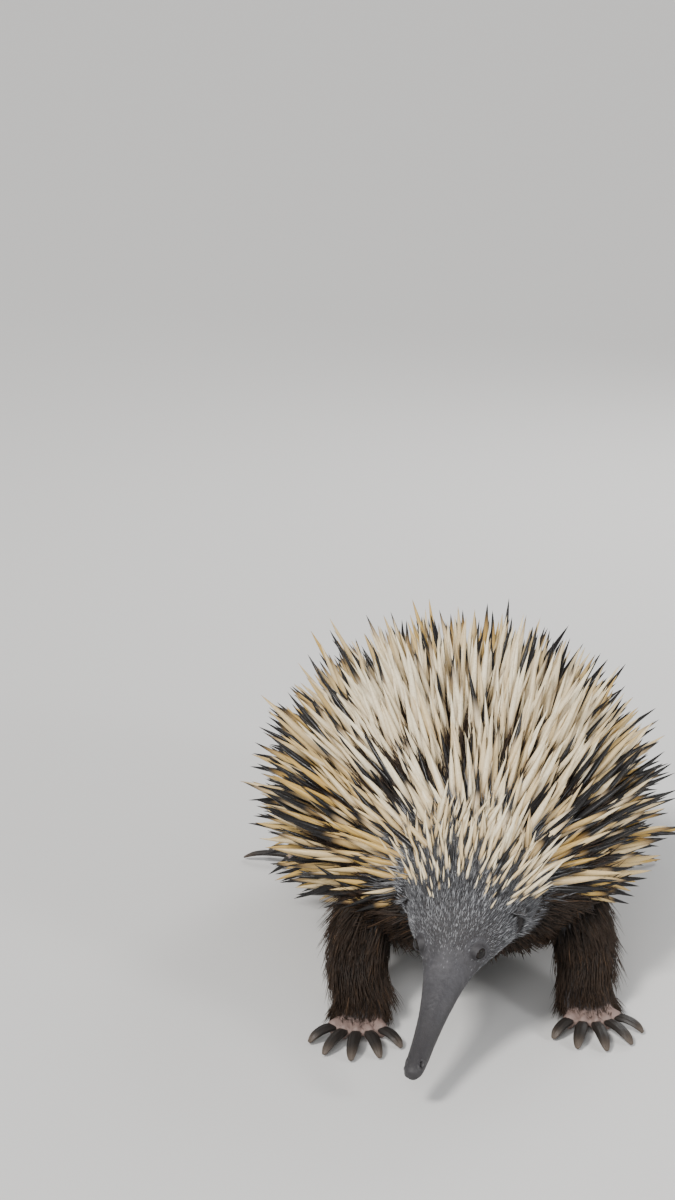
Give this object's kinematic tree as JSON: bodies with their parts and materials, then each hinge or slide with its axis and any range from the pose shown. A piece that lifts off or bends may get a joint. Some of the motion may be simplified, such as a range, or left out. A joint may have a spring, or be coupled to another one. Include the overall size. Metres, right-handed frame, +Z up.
{
  "type": "short-beaked echidna",
  "caption": "Life-size still model of a spiny echidna that stands on four clawed feet, with a long bare beak held low and a coat of half-raised spines.",
  "frame": {"origin": "on the floor, under the middle of the whole outline", "axes": "+Z up; -Y the way the animal faces, so +Y runs towards the tail; +X its own left side"},
  "size_m": [0.2594, 0.411, 0.1824],
  "materials": {
    "spines": "smooth horn, cream and ochre with dark tips",
    "fur": "coarse dark brown hair, silver grey on the face",
    "beak_skin": "fine-grained bare skin, slate grey",
    "eye": "wet black",
    "claw": "dark ridged horn, worn paler at the tips"
  },
  "bodies": {
    "root": {"trunk": "spines", "tail": "spines", "head": "fur", "beak": "beak_skin", "eye_left": "eye", "eye_right": "eye", "foreleg_left": "fur", "foreleg_right": "fur", "hindleg_left": "fur", "hindleg_right": "fur"}
  },
  "joints": []
}
